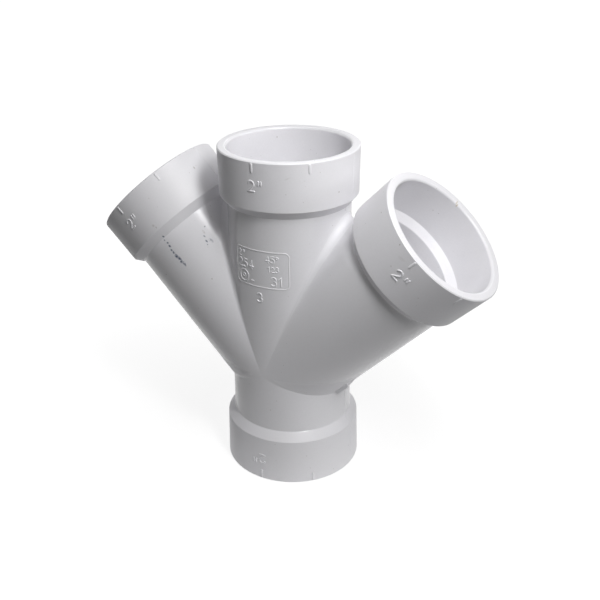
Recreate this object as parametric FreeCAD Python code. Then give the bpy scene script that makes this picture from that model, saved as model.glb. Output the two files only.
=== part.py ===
import FreeCAD, Part
import math
import os

# Double wye drainage fitting for nominal 2 inch pipe, moulded in one piece.
# Lengths are in millimetres and angles in degrees. The origin is the middle of the lower
# mouth, on the face that the fitting stands on. +Z runs up the straight run, and the two
# branches lean towards +X and -X in the plane Y = 0, which is the mould's parting plane.

# Pipe that the fitting takes
pipe_diameter = 60.33           # outside
pipe_wall = 3.91                # the waterway is as wide as the pipe's bore

# Sockets
socket_clearance = 0.07         # diameter of the socket over the pipe's
socket_depth = 22.4             # mouth face to the pipe stop
stop_slope_length = 3.2         # along the axis, from the stop down to the waterway
lip_inside_bevel = 1.2          # guides the pipe in
lip_outside_bevel = 0.5

# Hubs and the shoulders that lead down to the barrels
socket_wall = 4.6               # wall of the hub at its mouth
hub_behind_stop = 1.4           # the hub goes on this far beyond the pipe stop
hub_taper = 0.5                 # radius that a hub loses over its length
shoulder_length = 4.3           # along the axis

# Raised ribs beside each mouth, which help to line the pipes up
rib_angles = (0, 45, 135, 180, 225, 315)    # from the front, with none on the parting plane
rib_start = 0.8                 # mouth face to the rib
rib_length = 4.6
rib_width = 1.3
rib_height = 0.35

# Barrels
barrel_wall = 4.35
run_extra_wall = 0.15           # the straight barrel is a touch thicker than the branches

# Layout of the axes, which all cross at one point
branch_angle = 45.0             # between a branch and the upper part of the run
hub_gap = 5.16                  # between the backs of two hubs that stand side by side
lower_barrel_length = 16.9      # plain barrel between the lower crotch and the shoulder

# Blend along the crease between the run and a branch, which widens towards the top
upper_barrel_length = 1.7       # plain barrel between the blend's end and the shoulder
foot_round = 1.0                # at the lower crotch

# Flat land under the root of one branch, on one side of the mould's parting plane
land_length = 9.2               # along the branch, from the crotch outwards
land_width = 9.3                # from the parting plane towards the front
land_stand = 0.4                # its flat stands this far off the branch's lowest line
land_corner_round = 1.3

socket_radius = (pipe_diameter + socket_clearance) / 2
waterway_radius = pipe_diameter / 2 - pipe_wall
hub_radius = socket_radius + socket_wall
hub_back_radius = hub_radius - hub_taper
hub_length = socket_depth + hub_behind_stop
branch_radius = waterway_radius + barrel_wall
run_radius = branch_radius + run_extra_wall

half_angle = math.radians(branch_angle / 2)
lower_crotch = branch_radius * math.tan(half_angle)     # crossing point down to the crotch
upper_crotch = branch_radius / math.tan(half_angle)     # crossing point up to the crotch
shoulder_start = (hub_gap / 2 + hub_back_radius * math.cos(half_angle)) / math.sin(half_angle)
upper_reach = shoulder_start + hub_length               # crossing point to an upper mouth
lower_reach = lower_crotch + lower_barrel_length + shoulder_length + hub_length

# A ball in the upper crotch, of this radius, touches the barrels where the blend ends
blend_end = shoulder_start - shoulder_length - upper_barrel_length
crotch_round = (blend_end - upper_crotch) * math.tan(half_angle)

origin = FreeCAD.Vector(0, 0, 0)
right = FreeCAD.Vector(1, 0, 0)
across = FreeCAD.Vector(0, 1, 0)
up = FreeCAD.Vector(0, 0, 1)


def turned(points):
    """Solid of revolution about Z from (radius, height) points."""
    corners = [FreeCAD.Vector(radius, 0, height) for radius, height in points]
    profile = Part.Face(Part.makePolygon(corners + corners[:1]))
    return profile.revolve(origin, up, 360)


def hub_outline(reach, barrel_radius):
    """Outer profile of one arm, from its mouth down to its barrel."""
    return [
        (hub_radius - lip_outside_bevel, reach),
        (hub_radius, reach - lip_outside_bevel),
        (hub_back_radius, reach - hub_length),
        (barrel_radius, reach - hub_length - shoulder_length),
    ]


def socket_outline(reach):
    """Inner profile of one arm, from its mouth down to its waterway."""
    return [
        (socket_radius + lip_inside_bevel, reach),
        (socket_radius, reach - lip_inside_bevel),
        (socket_radius, reach - socket_depth),
        (waterway_radius, reach - socket_depth - stop_slope_length),
    ]


def mirrored(outline):
    """The same profile for an arm that points down, listed from barrel to mouth."""
    return [(radius, -height) for radius, height in reversed(outline)]


def ribs(reach):
    """The ring of alignment ribs beside the mouth of one upright arm."""
    bar = Part.makeBox(rib_width, socket_wall / 2 + rib_height, rib_length)
    bar.translate(FreeCAD.Vector(-rib_width / 2, -hub_radius - rib_height, reach - rib_start - rib_length))
    return [bar.rotated(origin, up, angle) for angle in rib_angles]


def run_outside():
    """Straight barrel with a hub at each end, about the crossing point."""
    top = hub_outline(upper_reach, run_radius)
    bottom = mirrored(hub_outline(lower_reach, run_radius))
    solid = turned([(0, upper_reach)] + top + bottom + [(0, -lower_reach)])
    lower_ribs = [rib.mirror(origin, up) for rib in ribs(lower_reach)]
    return solid.fuse(ribs(upper_reach) + lower_ribs)


def branch_outside():
    """One branch with its hub, standing upright from the crossing point."""
    outline = hub_outline(upper_reach, branch_radius)
    solid = turned([(0, upper_reach)] + outline + [(branch_radius, 0), (0, 0)])
    return solid.fuse(ribs(upper_reach))


def run_inside():
    """Space inside the run: two sockets, their stops and the waterway between them."""
    top = socket_outline(upper_reach)
    bottom = mirrored(socket_outline(lower_reach))
    return turned([(0, upper_reach)] + top + bottom + [(0, -lower_reach)])


def branch_inside():
    """Space inside one branch, from the crossing point to its mouth."""
    outline = socket_outline(upper_reach)
    return turned([(0, upper_reach)] + outline + [(waterway_radius, 0), (0, 0)])


def leaning(solid, side):
    """Lean an upright branch over towards +X (side 1) or -X (side -1)."""
    return solid.rotated(origin, across, side * branch_angle)


def crease(solid):
    """Edge where the barrel of the branch meets the barrel of the run."""
    barrel_radii = (run_radius, branch_radius)
    for edge in solid.Edges:
        faces = solid.ancestorsOfType(edge, Part.Face)
        radii = [face.Surface.Radius for face in faces if isinstance(face.Surface, Part.Cylinder)]
        is_barrel = all(min(abs(radius - r) for r in barrel_radii) < 1e-4 for radius in radii)
        if len(radii) == 2 and is_barrel and not isinstance(edge.Curve, (Part.Line, Part.Circle)):
            return edge
    raise RuntimeError("the branch doesn't meet the run")


def blended_quarter():
    """Front right quarter of the outer form, with the crease between its barrels blended."""
    form = run_outside().fuse(leaning(branch_outside(), 1)).removeSplitter()
    side = 2 * (upper_reach + hub_radius)
    quarter = form.common(Part.makeBox(side, side, side, FreeCAD.Vector(0, -side, -side / 2)))
    edge = crease(quarter)
    rounds = (foot_round, crotch_round)
    if edge.Vertexes[0].Z > edge.Vertexes[-1].Z:
        rounds = rounds[::-1]
    return quarter.makeFillet(*rounds, [edge])


def outer_form():
    """The quarter, mirrored to the left and then to the back."""
    quarter = blended_quarter()
    front = quarter.fuse(quarter.mirror(origin, right))
    return front.fuse(front.mirror(origin, across)).removeSplitter()


def land():
    """Flat land on the underside of the right branch, beside its crotch with the run."""
    flat = branch_radius + land_stand
    block = Part.makeBox(flat, land_width, land_length)
    block.translate(FreeCAD.Vector(0, -land_width, lower_crotch))
    ends = [
        edge for edge in block.Edges
        if all(math.isclose(vertex.X, flat, abs_tol=1e-4) for vertex in edge.Vertexes)
        and abs(edge.Vertexes[0].Y - edge.Vertexes[-1].Y) > land_width / 2
    ]
    return leaning(block.makeFillet(land_corner_round, ends), 1)


def double_wye():
    outside = outer_form().fuse(land())
    hollow = branch_inside()
    body = outside.cut([run_inside(), leaning(hollow, 1), leaning(hollow, -1)])
    return body.removeSplitter().translated(FreeCAD.Vector(0, 0, lower_reach))


os.makedirs("parts", exist_ok=True)
fitting = double_wye()
if len(fitting.Solids) != 1 or not fitting.isValid():
    raise RuntimeError("the fitting has to be one sound solid")
fitting.Solids[0].exportStep("parts/double_wye.step")
print("volume", round(fitting.Volume, 1), "mm3, faces", len(fitting.Faces))
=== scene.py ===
import math

import bpy
from mathutils import Matrix, Vector


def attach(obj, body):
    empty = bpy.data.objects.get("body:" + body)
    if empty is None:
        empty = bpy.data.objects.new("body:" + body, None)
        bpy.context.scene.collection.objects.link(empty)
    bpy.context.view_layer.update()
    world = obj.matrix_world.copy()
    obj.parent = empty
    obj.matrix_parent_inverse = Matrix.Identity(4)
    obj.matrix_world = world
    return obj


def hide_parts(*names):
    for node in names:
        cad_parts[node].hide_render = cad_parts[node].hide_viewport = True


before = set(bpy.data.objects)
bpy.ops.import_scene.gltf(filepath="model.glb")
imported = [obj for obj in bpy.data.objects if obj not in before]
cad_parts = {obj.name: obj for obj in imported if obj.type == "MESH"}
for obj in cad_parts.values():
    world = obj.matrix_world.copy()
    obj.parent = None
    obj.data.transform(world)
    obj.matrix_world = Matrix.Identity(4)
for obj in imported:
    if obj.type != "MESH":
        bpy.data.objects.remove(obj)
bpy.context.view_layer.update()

# Dressed double wye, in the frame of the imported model. The fitting's own sizes are in
# millimetres, as in the solid, and MM turns them into metres. Camera, floor and lamps are
# in metres.
MM = 0.001

# Camera, solved from the photograph of 600 by 600 pixels
PHOTO_WIDTH = 600
CAMERA_PLACE = (0.20141, -0.36359, 0.28836)
CAMERA_YAW = math.radians(-30.3829)
CAMERA_PITCH = math.radians(-21.145)
CAMERA_ROLL = math.radians(-1.409)
CAMERA_NEAR_END = 0.01
FOCAL_PIXELS = 893.655
CENTRE_PIXEL = (269.517, 227.130)
SENSOR_WIDTH = 36.0

# Sizes of the solid. One radius between those of its run and its branches serves all the
# barrels here, and a reach goes from the crossing of the axes to a mouth.
SOCKET_RADIUS = 30.2
SOCKET_DEPTH = 22.4
STOP_SLOPE_LENGTH = 3.2
WATERWAY_RADIUS = 26.255
BARREL_RADIUS = 30.66
HUB_RADIUS = 34.8
HUB_BACK_RADIUS = 34.3
HUB_LENGTH = 23.8
SHOULDER_LENGTH = 4.3
LIP_OUTSIDE_BEVEL = 0.5
UPPER_REACH = 113.349
LOWER_REACH = 57.677
BRANCH_ANGLE = math.radians(45)

# Rounds where the solid has plain edges, and a bevel at the inside of the lip
LIP_OUTSIDE_ROUND = 0.25
LIP_INSIDE_ROUND = 1.5
SHOULDER_EDGE_ROUND = 0.5
SHOULDER_FOOT_ROUND = 0.4
STOP_ROUND = 0.35
SLOPE_END_ROUND = 0.8
WATERWAY_ROUND = 0.6

# Plain barrel and plain waterway that the section of an arm ends with
PLAIN_END = 1.0

# Blend outside along the creases: in the upper crotch, at the front and back, and in the
# lower crotch
CROTCH_BLEND = 4.0
POLE_BLEND = 1.8
FOOT_BLEND = 0.7

# Fineness of the body's mesh, and limits for what counts as alike
COLUMNS_PER_QUARTER = 36
ARC_STEPS = 6
BLEND_STEPS = 8
BARREL_STEPS = 4
SAME_PLACE_DIGITS = 4
NEARLY_ZERO = 1e-9
FACING_THE_MOUTH = -0.999

# Rounded ridges that all raised marks are made of. The profile runs from the middle of the
# ridge's top down one side, in shares of its width and of its height.
STROKE_PROFILE = ((0, 1), (0.22, 0.95), (0.37, 0.76), (0.47, 0.4), (0.52, 0), (0.55, -0.4))
STROKE_STEP = 1.5
STROKE_END_STEPS = 6
SIGN_ARC_STEPS = 14
MITRE_LIMIT = 0.6

# Alignment ribs beside each mouth: degrees round the arm from the front, the start and the
# end below the mouth, width and height
RIB_ANGLES = (0, 45, 135, 180)
RIB_DEPTHS = (0.8, 5.4)
RIB_WIDTH = 1.2
RIB_HEIGHT = 0.33

# Size sign on each hub. Its lower left corner is across from the hub's front and up from
# the mouth, and a stroke is its width and height.
SIZE_SIGN = "2i"
SIZE_SIGN_START = (-2.1, -14.2)
SIZE_SIGN_HEIGHT = 5.0
SIZE_SIGN_STROKE = (0.9, 0.32)

# Raised panel on the front of the run, with places given as for the size sign
PANEL_HALF_WIDTH = 14.8
PANEL_TOP = -45.25
PANEL_BOTTOM = -63.85
PANEL_CORNER = 2.2
PANEL_CORNER_STEPS = 6
PANEL_STROKE = (0.75, 0.17)
RING_CENTRE = (-9.4, -59.55)
DASH = ((-4.6, -61.25), (-3.4, -61.25))
DASH_STROKE = (0.8, 0.22)

# Rings in the panel: radius, number of points and stroke
PANEL_RINGS = (
    (2.9, 24, (0.7, 0.28)),
    (0.9, 12, (0.6, 0.25)),
)

# Plain signs in the panel and one below it: lower left corner, height and stroke
PANEL_SIGNS = (
    ("2i", (-13.2, -49.85), 3.2, (0.55, 0.25)),
    ("45o", (3.2, -50.45), 3.2, (0.6, 0.22)),
    ("254", (-13.2, -55.25), 4.2, (0.6, 0.27)),
    ("123", (4.4, -55.15), 2.6, (0.5, 0.22)),
    ("31", (6.0, -62.25), 4.4, (0.7, 0.28)),
    ("3", (-1.7, -71.7), 4.6, (0.8, 0.3)),
)

# Witness line of the mould, which runs down both sides of every arm
WITNESS_START = 1.5
WITNESS_STROKE = (0.5, 0.15)

# Flat land on the underside of the right branch: its two ends along that arm, its width,
# and how far its face and its hidden foot are from the arm's axis
LAND_ALONG = (12.677, 21.877)
LAND_WIDTH = 9.3
LAND_TOP = 31.005
LAND_SUNK = 28.0
LAND_CORNER = 1.3
LAND_CORNER_STEPS = 8
LAND_BEVEL = 0.2
LAND_SHARP_ANGLE = math.radians(30)

# White of the plastic, and the faint layers over it: scale and detail of a noise, its values
# where a layer starts and where it is full, its share when full, and its colour. A scale
# counts the cells in a metre, and an edge is two values with the ramp between them.
WHITE = (0.895, 0.889, 0.918)
TINTS = (
    (12, 2, 0.3, 0.7, 1.0, (0.88, 0.873, 0.90)),
    (1100, 2, 0.35, 0.65, 0.09, (0.72, 0.71, 0.74)),
    (38, 1, 0.45, 0.8, 0.12, (0.80, 0.79, 0.77)),
)

# Inclusions: dots in the middle of cells, where a noise lets them show
DOT_CELLS = 240
DOT_EDGE = (0.075, 0.04)
DOT_NOISE = (45, 2)
DOT_NOISE_EDGE = (0.5, 0.6)
DOT_SHARE = 0.55
DOT_COLOUR = (0.42, 0.40, 0.38)

# Flecks that break up the scuffs and smears
FLECK_NOISE = (800, 3)
FLECK_NOISE_EDGE = (0.35, 0.43)

# Marks on the plastic: arm, degrees round it from the front, depth below its mouth, half
# sizes round and along it, tilt in degrees, strength, and radius if it isn't outside
SCUFF_COLOUR = (0.055, 0.08, 0.14)
SCUFFS = (
    ("left", 12.6, 27.5, (0.6, 0.7), 0, 0.9),
    ("left", 10.6, 29.2, (0.45, 0.7), 0, 0.7),
    ("left", 11.5, 31.3, (0.6, 0.8), 20, 0.95),
    ("left", 11.0, 33.2, (0.7, 1.1), 10, 1.0),
    ("left", 9.8, 35.3, (0.65, 0.9), 0, 0.9),
    ("left", 10.1, 37.0, (0.8, 1.1), -10, 1.0),
    ("left", 10.0, 39.2, (1.1, 1.7), 0, 1.0),
    ("left", 10.6, 41.9, (1.15, 2.7), -6, 1.0),
    ("left", 11.5, 44.8, (0.8, 1.8), -6, 0.95),
    ("left", 49.3, 36.9, (0.55, 0.5), 0, 1.0),
    ("left", 43.4, 40.9, (0.5, 1.2), 10, 0.75),
    ("left", 42.1, 43.3, (0.55, 1.1), 5, 0.9),
    ("left", 40.8, 44.9, (0.4, 0.6), 0, 0.6),
    ("left", 45.8, 44.4, (1.0, 1.9), 12, 0.5),
)
SMEAR_COLOUR = (0.36, 0.33, 0.29)
SMEARS = (
    ("left", 45.4, 38.8, (0.6, 1.6), 0, 0.35),
    ("left", 14.9, 20.5, (0.9, 0.9), 30, 0.5),
    ("left", 15.6, 22.2, (0.5, 0.8), 0, 0.4),
    ("left", -16.7, 42.1, (0.5, 0.5), 0, 0.6),
    ("left", 23.8, 59.6, (0.5, 0.5), 0, 0.5),
    ("left", 74.2, 10.0, (0.6, 1.0), 0, 0.5),
    ("upper", 27.9, 7.1, (1.8, 0.5), 20, 0.16),
    ("upper", 70.6, 16.7, (0.6, 0.6), 0, 0.5),
    ("right", -16.6, 2.2, (0.4, 0.5), 0, 0.6),
    ("right", -8.4, 11.8, (0.4, 0.4), 0, 0.5),
    ("right", -47.5, 4.8, (0.5, 0.4), 0, 0.5),
    ("right", -8.0, 5.4, (2.4, 1.0), 20, 0.12),
    ("right", 89.8, 0.4, (0.6, 0.5), 0, 0.9),
    ("upper", -139.8, 5.3, (0.4, 0.4), 0, 0.7, SOCKET_RADIUS),
)
STAIN_COLOUR = (0.58, 0.50, 0.36)
STAINS = (
    ("right", -167.2, 0.4, (0.4, 1.0), 0, 0.8, 31.2),
    ("right", -168.9, 1.0, (0.45, 1.0), 0, 0.9, 30.3),
)

# How far a mark reaches off its surface, and the shares of its size where it starts and
# where it is full
MARK_HALF_HEIGHT = 2
MARK_EDGE = (1.0, 0.35)

# Roughness of the skin, by a noise. Scuffs add to it, and so do the hubs, from a radius
# just outside the barrels.
ROUGHNESS = (0.19, 0.25)
ROUGHNESS_NOISE = (45, 3)
ROUGHNESS_NOISE_EDGE = (0.3, 0.7)
SCUFF_DULLNESS = 0.3
HUB_DULLNESS = 0.27
HUB_DULLNESS_EDGE = (30.8, 31.3)
REFRACTION = 1.53

# Relief of the skin: scale and detail of the noise, and height
SWELL_NOISE = (28, 1)
SWELL_HEIGHT = 0.3
GRAIN_NOISE = (1500, 3)
GRAIN_HEIGHT = 0.007

# Floor: its white as the camera sees it, and the glow added to that, and its white as the
# light that bounces off it meets it. The last two are two distances from the middle and the
# values there.
FLOOR_HALF_SIZE = 6.0
FLOOR_SEEN = 0.3
FLOOR_GLOW = (0.07, 0.28, 0.83, 1.0)
FLOOR_UNSEEN = (0.06, 0.12, 0.9, 0.16)

# Strength of the world's even light on everything
AMBIENT = 0.03

# Lamps shine at one point from an azimuth, counted from the front towards +X, and an
# elevation, both in degrees. An area lamp has a distance and a width and height. A sun has
# an angle in degrees. Then comes the strength of the light at the object.
LAMP_AIM = Vector((0.02, 0, 0.11))
AREA_LAMPS = {
    "key": (51, 46, 0.42, (0.06, 0.17), 1.50),
    "top": (43, 67, 0.30, (0.14, 0.14), 0.94),
}
SUNS = {
    "right": (75, 20, 20, 0.14),
    "right_back": (110, 8, 20, 0.54),
    "left_high": (258, 60, 30, 0.21),
    "back_left": (228, 14, 30, 0.75),
    "back": (190, 14, 30, 0.70),
}

# Lamps without a highlight, which would be a glare along the object's edges
KEPT_OFF_GLOSS = ("back_left", "back")

# What all arms share: the direction across, the crossing of their axes, and the two angles
# that there are between an axis and a crease
ACROSS = Vector((0, 1, 0))
CROSSING = Vector((0, 0, LOWER_REACH))
ACUTE = BRANCH_ANGLE / 2
OBTUSE = math.pi / 2 - ACUTE


class Arm:
    """One socketed arm. side is square to the axis in the plane Y = 0. plus and minus are
    the angles from the axis to the creases on the +side and on the -side, and marks_turn
    is how far the marks on the hub are turned from the front, in degrees."""

    def __init__(self, lean, reach, plus, minus, marks_turn):
        self.axis = Vector((math.sin(lean), 0, math.cos(lean)))
        self.side = ACROSS.cross(self.axis)
        self.reach = reach
        self.plus = plus
        self.minus = minus
        self.marks_turn = marks_turn

    def place(self, along, outward):
        return CROSSING + self.axis * along + outward


ARMS = {
    "upper": Arm(0, UPPER_REACH, ACUTE, ACUTE, -0.5),
    "right": Arm(BRANCH_ANGLE, UPPER_REACH, OBTUSE, ACUTE, 0.3),
    "left": Arm(-BRANCH_ANGLE, UPPER_REACH, ACUTE, OBTUSE, -1.7),
    "lower": Arm(math.pi, LOWER_REACH, OBTUSE, OBTUSE, -0.5),
}


def make_camera():
    """The photograph's camera, with the lens shifted to its centre pixel."""
    yaw, pitch, roll = CAMERA_YAW, CAMERA_PITCH, CAMERA_ROLL
    ahead = Vector((math.sin(yaw) * math.cos(pitch), math.cos(yaw) * math.cos(pitch), math.sin(pitch)))
    level = ahead.cross(Vector((0, 0, 1))).normalized()
    upright = level.cross(ahead)
    right = math.cos(roll) * level + math.sin(roll) * upright
    up = math.cos(roll) * upright - math.sin(roll) * level
    turn = Matrix((right, up, -ahead)).transposed().to_4x4()
    camera = bpy.data.objects.new("camera", bpy.data.cameras.new("camera"))
    camera.matrix_world = Matrix.Translation(CAMERA_PLACE) @ turn
    camera.data.sensor_width = SENSOR_WIDTH
    camera.data.lens = FOCAL_PIXELS * SENSOR_WIDTH / PHOTO_WIDTH
    camera.data.shift_x = (PHOTO_WIDTH / 2 - CENTRE_PIXEL[0]) / PHOTO_WIDTH
    camera.data.shift_y = (CENTRE_PIXEL[1] - PHOTO_WIDTH / 2) / PHOTO_WIDTH
    camera.data.clip_start = CAMERA_NEAR_END
    bpy.context.collection.objects.link(camera)
    bpy.context.scene.camera = camera


def rounded(corners):
    """Points and normals along an outline of (radius, depth, round) corners. The normals
    point to the left of the way the outline runs."""
    line = []
    spots = [Vector(corner[:2]) for corner in corners]
    for i, corner in enumerate(corners):
        here = spots[i]
        before = (here - spots[i - 1]).normalized() if i else None
        after = (spots[i + 1] - here).normalized() if i + 1 < len(spots) else None
        if before is None or after is None:
            way = after if before is None else before
            line.append((here, Vector((-way.y, way.x))))
            continue
        turn = before.angle_signed(after)
        hand = -1 if turn > 0 else 1
        ball = corner[2]
        trim = ball * math.tan(abs(turn) / 2)
        centre = here - before * trim + Vector((-before.y, before.x)) * ball * hand
        steps = max(2, round(ARC_STEPS * abs(turn) / (math.pi / 2)))
        for k in range(steps + 1):
            way = Matrix.Rotation(-turn * k / steps, 2) @ before
            left = Vector((-way.y, way.x))
            line.append((centre - left * ball * hand, left))
    return line


def outline():
    """Section of an arm from its barrel over the mouth to its waterway, by radius and by
    depth below the mouth, with a short plain end on each side."""
    foot = HUB_LENGTH + SHOULDER_LENGTH
    slope_end = SOCKET_DEPTH + STOP_SLOPE_LENGTH
    return rounded([
        (BARREL_RADIUS, foot + PLAIN_END, 0),
        (BARREL_RADIUS, foot, SHOULDER_FOOT_ROUND),
        (HUB_BACK_RADIUS, HUB_LENGTH, SHOULDER_EDGE_ROUND),
        (HUB_RADIUS, LIP_OUTSIDE_BEVEL, LIP_OUTSIDE_ROUND),
        (HUB_RADIUS - LIP_OUTSIDE_BEVEL, 0, LIP_OUTSIDE_ROUND),
        (SOCKET_RADIUS, 0, LIP_INSIDE_ROUND),
        (SOCKET_RADIUS, SOCKET_DEPTH, STOP_ROUND),
        (WATERWAY_RADIUS, slope_end, SLOPE_END_ROUND),
        (WATERWAY_RADIUS, slope_end + PLAIN_END, 0),
    ])


def crease(arm, angle, radius, ball):
    """Points and normals of the half blend between an arm and its neighbour at one angle
    round the arm, from the mid-line of the crease to where the ball touches the arm."""
    cosine, sine = math.cos(angle), math.sin(angle)
    at_pole = abs(cosine) < NEARLY_ZERO
    if at_pole:
        cosine = 0.0
    half = arm.plus if cosine > 0 else arm.minus
    toward = arm.side if cosine > 0 else -arm.side
    cosine = abs(cosine)
    own = toward * cosine + ACROSS * sine
    neighbour = arm.axis * math.sin(2 * half) - toward * math.cos(2 * half)
    other = neighbour * cosine + ACROSS * sine
    middle = (own + other).normalized()
    centre = arm.place((radius + ball) * cosine / math.tan(half), own * (radius + ball))
    points = []
    for k in range(BLEND_STEPS + 1):
        share = k / BLEND_STEPS
        normal = middle.lerp(own, share) if at_pole else middle.slerp(own, share)
        normal.normalize()
        points.append((centre - normal * ball, normal))
    return points


def crotch_ball(half):
    """Radius of the blend outside in the upper or the lower crotch, by the crease's angle."""
    return CROTCH_BLEND if half == ACUTE else FOOT_BLEND


def outer_ball(arm, angle):
    """Radius of the blend outside at one angle round the arm."""
    cosine = math.cos(angle)
    end = crotch_ball(arm.plus if cosine > 0 else arm.minus)
    return POLE_BLEND + (end - POLE_BLEND) * abs(cosine)


def column(arm, angle, section):
    """Points and normals down one column of the body's mesh, from crease to crease."""
    around = arm.side * math.cos(angle) + ACROSS * math.sin(angle)
    points = crease(arm, angle, BARREL_RADIUS, outer_ball(arm, angle))
    contact = (points[-1][0] - CROSSING).dot(arm.axis)
    first = arm.reach - section[0][0].y
    for k in range(1, BARREL_STEPS):
        along = contact + (first - contact) * k / BARREL_STEPS
        points.append((arm.place(along, around * BARREL_RADIUS), around))
    for spot, normal in section:
        facing = around * normal.x - arm.axis * normal.y
        points.append((arm.place(arm.reach - spot.y, around * spot.x), facing))
    inner = crease(arm, angle, WATERWAY_RADIUS, WATERWAY_ROUND)
    contact = (inner[-1][0] - CROSSING).dot(arm.axis)
    last = arm.reach - section[-1][0].y
    for k in range(1, BARREL_STEPS):
        along = last + (contact - last) * k / BARREL_STEPS
        points.append((arm.place(along, around * WATERWAY_RADIUS), -around))
    points += [(spot, -normal) for spot, normal in reversed(inner)]
    return points


class Shell:
    """Vertices with their own normals, shared where they coincide, and faces."""

    def __init__(self):
        self.vertices = []
        self.normals = []
        self.faces = []
        self.known = {}

    def vertex(self, spot, normal=None):
        key = tuple(round(value, SAME_PLACE_DIGITS) for value in spot)
        if key not in self.known:
            self.known[key] = len(self.vertices)
            self.vertices.append(spot * MM)
            self.normals.append(normal)
        return self.known[key]

    def face(self, corners):
        kept = [corner for i, corner in enumerate(corners) if corner != corners[i - 1]]
        if len(set(kept)) > 2:
            self.faces.append(kept)

    def make_piece(self, name, material):
        mesh = bpy.data.meshes.new(name)
        mesh.from_pydata(self.vertices, [], self.faces)
        mesh.shade_smooth()
        if None not in self.normals:
            mesh.normals_split_custom_set_from_vertices(self.normals)
        mesh.materials.append(material)
        piece = bpy.data.objects.new(name, mesh)
        bpy.context.collection.objects.link(piece)
        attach(piece, "root")
        return piece


def make_body(section, material):
    """The fitting without its marks: four arms that share their vertices at the creases."""
    shell = Shell()
    count = 4 * COLUMNS_PER_QUARTER
    for arm in ARMS.values():
        grid = []
        for k in range(count):
            points = column(arm, 2 * math.pi * k / count, section)
            grid.append([shell.vertex(*point) for point in points])
        for k in range(count):
            here, there = grid[k - 1], grid[k]
            for row in range(len(here) - 1):
                shell.face((here[row], there[row], there[row + 1], here[row + 1]))
    body = shell.make_piece("fitting_body", material)
    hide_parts("double_wye")
    return body


def outer_line(section):
    """Part of an arm's section from its barrel to where the lip turns flat."""
    outside = []
    for spot, normal in section:
        outside.append(spot)
        if normal.y < FACING_THE_MOUTH:
            return outside


def outer_radius(section, depth):
    """Radius of an arm's outside at a depth below its mouth."""
    outside = outer_line(section)
    for far, near in zip(outside, outside[1:]):
        if near.y <= depth <= far.y and far.y > near.y:
            return near.x + (far.x - near.x) * (depth - near.y) / (far.y - near.y)
    return outside[0].x


def skin(arm, section, reference):
    """Lays flat marks on an arm: u runs round it at the reference radius, from the front,
    and v along it towards the mouth, where it is 0."""
    def lay(u, v, height):
        angle = u / reference
        outward = arm.side * math.sin(angle) - ACROSS * math.cos(angle)
        return arm.place(arm.reach + v, outward * (outer_radius(section, -v) + height))
    return lay


def finely(line, closed):
    """The line with points added where it runs far round an arm, so that it follows it."""
    line = [Vector(point) for point in line]
    points = []
    for here, there in zip(line, line[1:] + (line[:1] if closed else [])):
        parts = max(1, math.ceil(abs(there.x - here.x) / STROKE_STEP))
        points += [here.lerp(there, k / parts) for k in range(parts)]
    return points if closed else points + line[-1:]


def sideways(line, closed):
    """Steps to the left of a line at each of its points, longer where it bends, to a limit."""
    steps = []
    for i, here in enumerate(line):
        before = here - line[i - 1] if closed or i else line[1] - line[0]
        after = line[(i + 1) % len(line)] - here if closed or i + 1 < len(line) else before
        before, after = before.normalized(), after.normalized()
        middle = (before + after).normalized()
        left = Vector((-middle.y, middle.x))
        steps.append(left / max(MITRE_LIMIT, left.dot(Vector((-before.y, before.x)))))
    return steps


def round_end(here, step):
    """Half a turn of steps about the end of a line."""
    turns = [Matrix.Rotation(-math.pi * k / STROKE_END_STEPS, 2) for k in range(1, STROKE_END_STEPS)]
    return [(here, turn @ step) for turn in turns]


def half_profile(shell, lay, here, reach, height):
    """Vertices from a ridge's top down one side and back to the middle of its underside."""
    row = []
    for share, rise in STROKE_PROFILE:
        spot = here + reach * share
        row.append(shell.vertex(lay(spot.x, spot.y, height * rise)))
    row.append(shell.vertex(lay(here.x, here.y, height * STROKE_PROFILE[-1][1])))
    return row


def stroke(shell, lay, line, width, height, closed=False):
    """Rounded ridge along a line of (u, v) points, closed underneath, inside the wall."""
    line = finely(line, closed)
    there = list(zip(line, sideways(line, closed)))
    back = [(here, -step) for here, step in reversed(there)]
    if closed:
        loops = [there + there[:1], back + back[:1]]
    else:
        loops = [there + round_end(*there[-1]) + back + round_end(*back[-1]) + there[:1]]
    for loop in loops:
        rows = [half_profile(shell, lay, here, step * width, height) for here, step in loop]
        for one, two in zip(rows, rows[1:]):
            for k in range(len(one) - 1):
                shell.face((one[k], two[k], two[k + 1], one[k + 1]))


def arc(centre, radii, start, end, steps=SIGN_ARC_STEPS):
    """Points along part of an ellipse, from one angle to another in degrees."""
    angles = [math.radians(start + (end - start) * k / steps) for k in range(steps + 1)]
    return [(centre[0] + radii[0] * math.cos(a), centre[1] + radii[1] * math.sin(a)) for a in angles]


def ring(centre, radius, count):
    """Points of a closed circle."""
    return arc(centre, (radius, radius), 0, 360 - 360 / count, count - 1)


# Lines of each sign in a box of one by one, its step to the next sign, and the box's width
# for its height. The sign i is a pair of inch strokes, and o a degree ring.
SIGN_LINES = {
    "1": [[(0.05, 0.76), (0.35, 1), (0.35, 0)]],
    "2": [arc((0.35, 0.7), (0.32, 0.29), 165, -38) + [(0.04, 0.03)], [(0.04, 0), (0.7, 0)]],
    "3": [arc((0.32, 0.745), (0.29, 0.255), 150, -75), arc((0.33, 0.26), (0.33, 0.26), 78, -150)],
    "4": [[(0.52, 0), (0.52, 1), (0, 0.3), (0.72, 0.3)]],
    "5": [[(0.6, 1), (0.14, 1), (0.08, 0.56)], arc((0.31, 0.33), (0.33, 0.33), 128, -145)],
    "i": [[(0.27, 0.98), (0.24, 0.66)], [(0.56, 0.98), (0.53, 0.66)]],
    "o": [ring((0.2, 0.82), 0.17, 16)],
}
SIGN_STEPS = {"1": 0.7, "2": 0.95, "3": 0.9, "4": 0.95, "5": 0.9, "i": 0.8, "o": 0.6}
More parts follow.
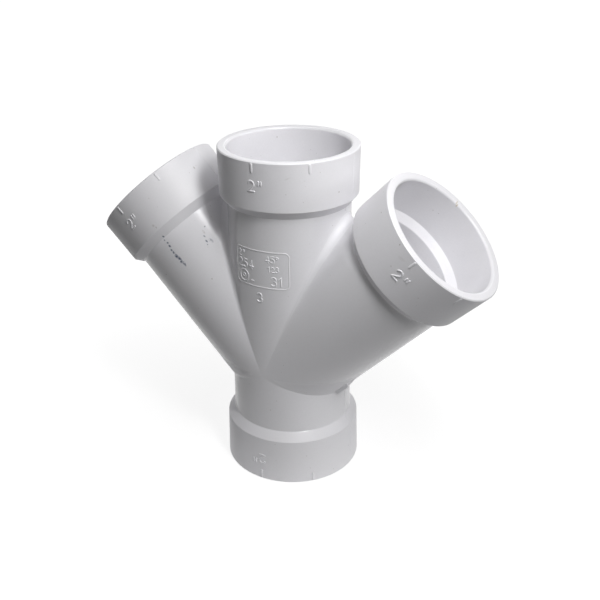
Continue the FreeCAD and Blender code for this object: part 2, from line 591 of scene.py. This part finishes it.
SIGN_SLIMNESS = 0.9


def write(shell, lay, signs, start, height, stroke_size):
    """Row of signs whose lower left corner is at the start."""
    u, v = start
    width = height * SIGN_SLIMNESS
    for sign in signs:
        for line in SIGN_LINES[sign]:
            points = [(u + x * width, v + y * height) for x, y in line]
            stroke(shell, lay, points, *stroke_size, closed=sign == "o")
        u += SIGN_STEPS[sign] * width


def make_ribs(section, material):
    """Short ridges beside each mouth, which help to line the pipes up."""
    shell = Shell()
    start, end = RIB_DEPTHS[0] + RIB_WIDTH / 2, RIB_DEPTHS[1] - RIB_WIDTH / 2
    for arm in ARMS.values():
        lay = skin(arm, section, HUB_RADIUS)
        hand = -1 if arm is ARMS["lower"] else 1
        for angle in RIB_ANGLES:
            u = math.radians(hand * angle + arm.marks_turn) * HUB_RADIUS
            stroke(shell, lay, [(u, -start), (u, -end)], RIB_WIDTH, RIB_HEIGHT)
    return shell.make_piece("alignment_ribs", material)


def make_size_signs(section, material):
    """The same plain size sign on the front of each hub."""
    shell = Shell()
    for arm in ARMS.values():
        lay = skin(arm, section, HUB_RADIUS)
        start = (SIZE_SIGN_START[0] + math.radians(arm.marks_turn) * HUB_RADIUS, SIZE_SIGN_START[1])
        write(shell, lay, SIZE_SIGN, start, SIZE_SIGN_HEIGHT, SIZE_SIGN_STROKE)
    return shell.make_piece("size_signs", material)


def make_panel(section, material):
    """Thin raised frame on the front of the run with plain signs in it and one below."""
    shell = Shell()
    lay = skin(ARMS["upper"], section, BARREL_RADIUS)
    side = PANEL_HALF_WIDTH - PANEL_CORNER
    top, bottom = PANEL_TOP - PANEL_CORNER, PANEL_BOTTOM + PANEL_CORNER
    border = []
    for k, centre in enumerate(((side, top), (-side, top), (-side, bottom), (side, bottom))):
        border += arc(centre, (PANEL_CORNER, PANEL_CORNER), 90 * k, 90 * k + 90, PANEL_CORNER_STEPS)
    stroke(shell, lay, border, *PANEL_STROKE, closed=True)
    for signs, start, height, stroke_size in PANEL_SIGNS:
        write(shell, lay, signs, start, height, stroke_size)
    for radius, count, stroke_size in PANEL_RINGS:
        stroke(shell, lay, ring(RING_CENTRE, radius, count), *stroke_size, closed=True)
    stroke(shell, lay, DASH, *DASH_STROKE)
    return shell.make_piece("raised_panel", material)


def make_witness_lines(section, material):
    """Thin ridges in the plane Y = 0, from beside each mouth down to the crotches."""
    shell = Shell()
    for arm in ARMS.values():
        lay = skin(arm, section, BARREL_RADIUS)
        for hand, half in ((1, arm.plus), (-1, arm.minus)):
            end = arm.reach - (BARREL_RADIUS + crotch_ball(half)) / math.tan(half)
            bends = [spot.y for spot in outer_line(section) if WITNESS_START < spot.y < end]
            u = hand * math.pi / 2 * BARREL_RADIUS
            line = [(u, -depth) for depth in [WITNESS_START, *reversed(bends), end]]
            stroke(shell, lay, line, *WITNESS_STROKE)
    return shell.make_piece("witness_lines", material)


def land_row(arm, across, inset):
    """Places round the land's outline at one place across it, drawn in by an inset."""
    first, last = LAND_ALONG[0] + inset, LAND_ALONG[1] - inset
    low = LAND_TOP - inset - LAND_CORNER
    row = [(LAND_SUNK, first)]
    for centre, turn in ((first + LAND_CORNER, math.pi), (last - LAND_CORNER, math.pi / 2)):
        for k in range(LAND_CORNER_STEPS + 1):
            angle = turn - math.pi / 2 * k / LAND_CORNER_STEPS
            row.append((low + LAND_CORNER * math.sin(angle), centre + LAND_CORNER * math.cos(angle)))
    row.append((LAND_SUNK, last))
    return [arm.place(along, arm.side * out + ACROSS * across) for out, along in row]


def make_land(material):
    """Flat land beside the root of the right branch, with its two ends rounded off."""
    shell = Shell()
    rows = []
    for across in (-LAND_WIDTH, LAND_BEVEL - LAND_WIDTH, -LAND_WIDTH / 2, -LAND_BEVEL, 0):
        inset = LAND_BEVEL if across in (-LAND_WIDTH, 0) else 0
        rows.append([shell.vertex(spot) for spot in land_row(ARMS["right"], across, inset)])
    for one, two in zip(rows, rows[1:]):
        for k in range(len(one)):
            shell.face((one[k - 1], one[k], two[k], two[k - 1]))
    shell.face(rows[0])
    shell.face(list(reversed(rows[-1])))
    land = shell.make_piece("land", material)
    land.data.set_sharp_from_angle(angle=LAND_SHARP_ANGLE)
    return land


class Paint:
    """Short calls for the nodes of one material, in the object's own coordinates."""

    def __init__(self, name):
        self.material = bpy.data.materials.new(name)
        self.material.use_nodes = True
        self.tree = self.material.node_tree
        self.shader = self.tree.nodes["Principled BSDF"]
        self.place = self.node("ShaderNodeTexCoord", {}, "Object")

    def node(self, kind, inputs, output=0, **settings):
        made = self.tree.nodes.new(kind)
        for name, value in settings.items():
            setattr(made, name, value)
        for key, value in inputs.items():
            if isinstance(value, bpy.types.NodeSocket):
                self.tree.links.new(value, made.inputs[key])
            else:
                made.inputs[key].default_value = value
        return made.outputs[output]

    def shade(self, name, value):
        """Leads a value to an input of the shader."""
        self.tree.links.new(value, self.shader.inputs[name])

    def noise(self, scale, detail):
        inputs = {"Vector": self.place, "Scale": scale, "Detail": detail}
        return self.node("ShaderNodeTexNoise", inputs, "Fac")

    def ramp(self, value, low, high, first=0.0, last=1.0):
        inputs = {"Value": value, "From Min": low, "From Max": high, "To Min": first, "To Max": last}
        return self.node("ShaderNodeMapRange", inputs, "Result")

    def maths(self, operation, one, two):
        return self.node("ShaderNodeMath", {0: one, 1: two}, operation=operation)

    def vector_maths(self, operation, *vectors):
        output = "Value" if operation == "LENGTH" else "Vector"
        return self.node("ShaderNodeVectorMath", dict(enumerate(vectors)), output, operation=operation)

    def mix(self, share, one, two):
        """Mixes colours, which this node takes at its inputs 6 and 7 and gives at output 2."""
        one, two = [(*value, 1) if isinstance(value, tuple) else value for value in (one, two)]
        return self.node("ShaderNodeMix", {0: share, 6: one, 7: two}, 2, data_type="RGBA")

    def bump(self, height, distance, below=None):
        inputs = {"Height": height, "Distance": distance * MM}
        if below:
            inputs["Normal"] = below
        return self.node("ShaderNodeBump", inputs, "Normal")


def axis_distance(paint, arm):
    """Distance from the middle line of an arm, in metres."""
    local = paint.vector_maths("SUBTRACT", paint.place, CROSSING * MM)
    square = paint.vector_maths("CROSS_PRODUCT", local, ARMS[arm].axis)
    return paint.vector_maths("LENGTH", square)


def mark_share(paint, section, arm, angle, depth, size, tilt, radius=None):
    """Share of one oval mark. It is on the arm's outside unless it has a radius."""
    arm, angle = ARMS[arm], math.radians(angle)
    outward = arm.side * math.sin(angle) - ACROSS * math.cos(angle)
    around = arm.axis.cross(outward)
    turn = Matrix((around, arm.axis, outward)).transposed()
    turn = turn @ Matrix.Rotation(math.radians(tilt), 3, "Z")
    radius = radius or outer_radius(section, depth)
    inputs = {
        "Vector": paint.place,
        "Location": arm.place(arm.reach - depth, outward * radius) * MM,
        "Rotation": turn.to_euler(),
        "Scale": Vector((*size, MARK_HALF_HEIGHT)) * MM,
    }
    local = paint.node("ShaderNodeMapping", inputs, vector_type="TEXTURE")
    return paint.ramp(paint.vector_maths("LENGTH", local), *MARK_EDGE)


def marks_share(paint, section, marks):
    """Share of a group of marks, each with its own strength."""
    shares = []
    for arm, angle, depth, size, tilt, strength, *radius in marks:
        mark = mark_share(paint, section, arm, angle, depth, size, tilt, *radius)
        shares.append(paint.maths("MULTIPLY", mark, strength))
    share = shares[0]
    for other in shares[1:]:
        share = paint.maths("MAXIMUM", share, other)
    return share


def inclusions_share(paint):
    """Share of the small dark dots."""
    cells = paint.node("ShaderNodeTexVoronoi", {"Vector": paint.place, "Scale": DOT_CELLS}, "Distance")
    shown = paint.ramp(paint.noise(*DOT_NOISE), *DOT_NOISE_EDGE, 0, DOT_SHARE)
    return paint.maths("MULTIPLY", paint.ramp(cells, *DOT_EDGE), shown)


def hub_dullness(paint):
    """Roughness that the hubs have over the barrels, by the distance from the nearest axis.
    The axes of the branches count only above the crossing."""
    height = paint.node("ShaderNodeSeparateXYZ", {0: paint.place}, "Z")
    below = paint.maths("LESS_THAN", height, LOWER_REACH * MM)
    branches = paint.maths("MINIMUM", axis_distance(paint, "left"), axis_distance(paint, "right"))
    branches = paint.maths("ADD", branches, below)
    nearest = paint.maths("MINIMUM", axis_distance(paint, "upper"), branches)
    low, high = HUB_DULLNESS_EDGE
    return paint.ramp(nearest, low * MM, high * MM, 0, HUB_DULLNESS)


def plastic(section):
    """Semi-gloss moulded PVC with small inclusions, faint handling marks and scuffs."""
    paint = Paint("white_pvc")
    flecks = paint.ramp(paint.noise(*FLECK_NOISE), *FLECK_NOISE_EDGE)
    smears = paint.maths("MULTIPLY", marks_share(paint, section, SMEARS), flecks)
    scuffs = paint.maths("MULTIPLY", marks_share(paint, section, SCUFFS), flecks)
    colour = WHITE
    for scale, detail, low, high, share, tint in TINTS:
        colour = paint.mix(paint.ramp(paint.noise(scale, detail), low, high, 0, share), colour, tint)
    colour = paint.mix(inclusions_share(paint), colour, DOT_COLOUR)
    colour = paint.mix(smears, colour, SMEAR_COLOUR)
    colour = paint.mix(marks_share(paint, section, STAINS), colour, STAIN_COLOUR)
    colour = paint.mix(scuffs, colour, SCUFF_COLOUR)
    paint.shade("Base Color", colour)
    roughness = paint.ramp(paint.noise(*ROUGHNESS_NOISE), *ROUGHNESS_NOISE_EDGE, *ROUGHNESS)
    roughness = paint.maths("ADD", roughness, paint.maths("MULTIPLY", scuffs, SCUFF_DULLNESS))
    roughness = paint.maths("ADD", roughness, hub_dullness(paint))
    paint.shade("Roughness", roughness)
    swell = paint.bump(paint.noise(*SWELL_NOISE), SWELL_HEIGHT)
    paint.shade("Normal", paint.bump(paint.noise(*GRAIN_NOISE), GRAIN_HEIGHT, swell))
    paint.shader.inputs["IOR"].default_value = REFRACTION
    return paint.material


def seen_share(tree):
    """1 for the rays that should meet a white background: camera, glossy, transmission."""
    path = tree.nodes.new("ShaderNodeLightPath")
    share = path.outputs["Is Camera Ray"]
    for name in ("Is Glossy Ray", "Is Transmission Ray"):
        larger = tree.nodes.new("ShaderNodeMath")
        larger.operation = "MAXIMUM"
        tree.links.new(share, larger.inputs[0])
        tree.links.new(path.outputs[name], larger.inputs[1])
        share = larger.outputs[0]
    return share


def make_floor():
    """Pale floor that shows white and keeps the object's shadow."""
    mesh = bpy.data.meshes.new("floor")
    far = FLOOR_HALF_SIZE
    corners = [(-far, -far, 0), (far, -far, 0), (far, far, 0), (-far, far, 0)]
    mesh.from_pydata(corners, [], [(0, 1, 2, 3)])
    floor = bpy.data.objects.new("floor", mesh)
    bpy.context.collection.objects.link(floor)
    paint = Paint("floor")
    paint.tree.nodes.remove(paint.shader)
    distance = paint.vector_maths("LENGTH", paint.place)
    seen = paint.node("ShaderNodeBsdfDiffuse", {"Color": (FLOOR_SEEN,) * 3 + (1,)})
    glow = paint.node("ShaderNodeEmission", {"Strength": paint.ramp(distance, *FLOOR_GLOW)})
    seen = paint.node("ShaderNodeAddShader", {0: seen, 1: glow})
    unseen = paint.node("ShaderNodeBsdfDiffuse", {"Color": paint.ramp(distance, *FLOOR_UNSEEN)})
    both = paint.node("ShaderNodeMixShader", {0: seen_share(paint.tree), 1: unseen, 2: seen})
    paint.tree.links.new(both, paint.tree.nodes["Material Output"].inputs["Surface"])
    mesh.materials.append(paint.material)


def make_world():
    """White to the camera and in reflections, and a faint even light on everything."""
    world = bpy.data.worlds.new("world")
    bpy.context.scene.world = world
    world.use_nodes = True
    tree = world.node_tree
    ambient = tree.nodes["Background"]
    ambient.inputs["Color"].default_value = (1, 1, 1, 1)
    ambient.inputs["Strength"].default_value = AMBIENT
    white = tree.nodes.new("ShaderNodeBackground")
    white.inputs["Color"].default_value = (1, 1, 1, 1)
    both = tree.nodes.new("ShaderNodeMixShader")
    tree.links.new(seen_share(tree), both.inputs[0])
    tree.links.new(ambient.outputs[0], both.inputs[1])
    tree.links.new(white.outputs[0], both.inputs[2])
    tree.links.new(both.outputs[0], tree.nodes["World Output"].inputs["Surface"])


def hang(name, lamp, azimuth, elevation, distance=1.0):
    """Lamp at a distance from the point that all lamps shine at."""
    azimuth, elevation = math.radians(azimuth), math.radians(elevation)
    level = math.cos(elevation)
    way = Vector((math.sin(azimuth) * level, -math.cos(azimuth) * level, math.sin(elevation)))
    light = bpy.data.objects.new(name, lamp)
    light.location = LAMP_AIM + way * distance
    light.rotation_euler = way.to_track_quat("Z", "Y").to_euler()
    light.visible_glossy = name not in KEPT_OFF_GLOSS
    bpy.context.collection.objects.link(light)


def make_lamps():
    """Two area lamps at the front right, and suns round the object."""
    for name, (azimuth, elevation, distance, size, strength) in AREA_LAMPS.items():
        lamp = bpy.data.lights.new(name, "AREA")
        lamp.shape = "RECTANGLE"
        lamp.size, lamp.size_y = size
        lamp.energy = strength * math.pi * distance ** 2
        hang(name, lamp, azimuth, elevation, distance)
    for name, (azimuth, elevation, angle, strength) in SUNS.items():
        lamp = bpy.data.lights.new(name, "SUN")
        lamp.angle = math.radians(angle)
        lamp.energy = strength
        hang(name, lamp, azimuth, elevation)


bpy.context.scene.view_settings.view_transform = "Standard"
make_camera()
arm_section = outline()
white_plastic = plastic(arm_section)
make_body(arm_section, white_plastic)
make_ribs(arm_section, white_plastic)
make_size_signs(arm_section, white_plastic)
make_panel(arm_section, white_plastic)
make_witness_lines(arm_section, white_plastic)
make_land(white_plastic)
make_floor()
make_world()
make_lamps()
